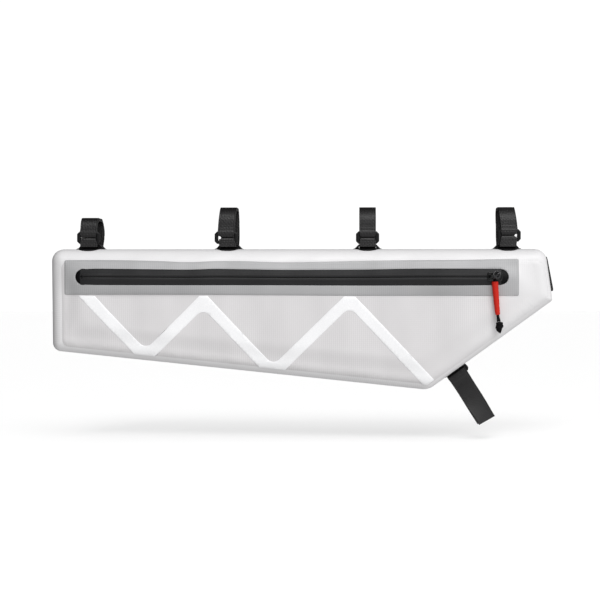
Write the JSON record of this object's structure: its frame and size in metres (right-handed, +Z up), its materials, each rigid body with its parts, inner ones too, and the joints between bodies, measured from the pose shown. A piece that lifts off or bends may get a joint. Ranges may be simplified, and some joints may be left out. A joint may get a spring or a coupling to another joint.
{
  "type": "bicycle frame bag",
  "caption": "Slim wedge-shaped waterproof bag with a long zip, hung in a bicycle frame by strap loops over the top tube and one strap below.",
  "frame": {"origin": "on the axis of the bicycle's top tube, inside the row of strap loops and midway along it", "axes": "+X along the bag from its heel (seat tube end) to its nose (head tube end), -Y out of the face with the zip, +Z up"},
  "size_m": [0.4806, 0.0741, 0.206],
  "materials": {
    "face_laminate": "matte coated ripstop, light grey",
    "side_laminate": "matte coated ripstop, pale grey",
    "zip_panel_laminate": "matte welded laminate, mid grey",
    "coated_zip_tape": "black coated zip tape",
    "black_moulding": "satin black moulded plastic",
    "black_webbing": "black woven webbing",
    "black_cord": "black braided cord",
    "red_sleeve": "matte red sleeve",
    "reflective_tape": "white reflective tape"
  },
  "bodies": {
    "root": {"front_panel": "face_laminate", "back_panel": "face_laminate", "gusset": "side_laminate", "zip_panel": "zip_panel_laminate", "zip_tape_upper": "coated_zip_tape", "zip_tape_lower": "coated_zip_tape", "zip_end_heel": "black_moulding", "zip_end_nose": "black_moulding", "zip_slider": "black_moulding", "pull_cord": "black_cord", "pull_sleeve": "red_sleeve", "pull_knot": "black_cord", "zigzag_stripe": "reflective_tape", "strap_anchor_1": "black_moulding", "strap_anchor_2": "black_moulding", "strap_anchor_3": "black_moulding", "strap_anchor_4": "black_moulding", "top_strap_1": "black_webbing", "top_strap_2": "black_webbing", "top_strap_3": "black_webbing", "top_strap_4": "black_webbing", "top_buckle_1": "black_moulding", "top_buckle_2": "black_moulding", "top_buckle_3": "black_moulding", "top_buckle_4": "black_moulding", "lower_anchor": "black_moulding", "lower_strap": "black_webbing", "end_patch": "black_webbing"}
  },
  "joints": []
}
